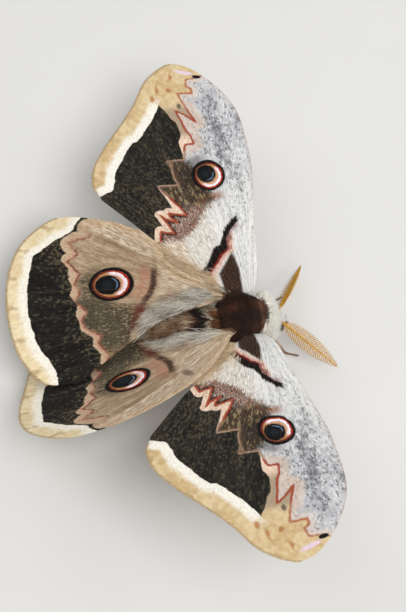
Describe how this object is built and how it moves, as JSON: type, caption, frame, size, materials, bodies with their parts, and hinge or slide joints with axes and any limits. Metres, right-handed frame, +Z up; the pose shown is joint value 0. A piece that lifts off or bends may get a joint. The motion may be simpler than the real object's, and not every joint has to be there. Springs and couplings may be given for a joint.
{
  "type": "giant peacock moth",
  "caption": "Life-size still model of a male giant peacock moth with spread, partly raised eyespotted wings, feathered feelers and a furry body, standing on its feet.",
  "frame": {"origin": "centre of the bounding box, at the level of the flats under the feet", "axes": "-Y to the head, +X to the moth's left wings, +Z up, the longest way being across the spread wings along X and the shortest its height along Z"},
  "size_m": [0.1494, 0.0834, 0.0388],
  "materials": {
    "head_fur": "dark brown short fur",
    "eye": "smooth dark glossy compound eye",
    "antenna": "ochre, matt",
    "collar_fur": "white woolly fur",
    "thorax_fur": "dark chocolate velvety fur",
    "abdomen_fur": "brown fur with pale bands and long grey-white side hair",
    "forewing": "powdery scales, brown and grey with an eyespot and a pale margin",
    "hindwing": "powdery scales, tan and brown with an eyespot and a pale margin",
    "leg": "reddish brown short fur"
  },
  "bodies": {
    "root": {"head": "head_fur", "eye_left": "eye", "eye_right": "eye", "antenna_left": "antenna", "antenna_right": "antenna", "collar": "collar_fur", "thorax": "thorax_fur", "abdomen": "abdomen_fur", "forewing_left": "forewing", "forewing_right": "forewing", "hindwing_left": "hindwing", "hindwing_right": "hindwing", "leg_fore_left": "leg", "leg_fore_right": "leg", "leg_mid_left": "leg", "leg_mid_right": "leg", "leg_hind_left": "leg", "leg_hind_right": "leg"}
  },
  "joints": []
}
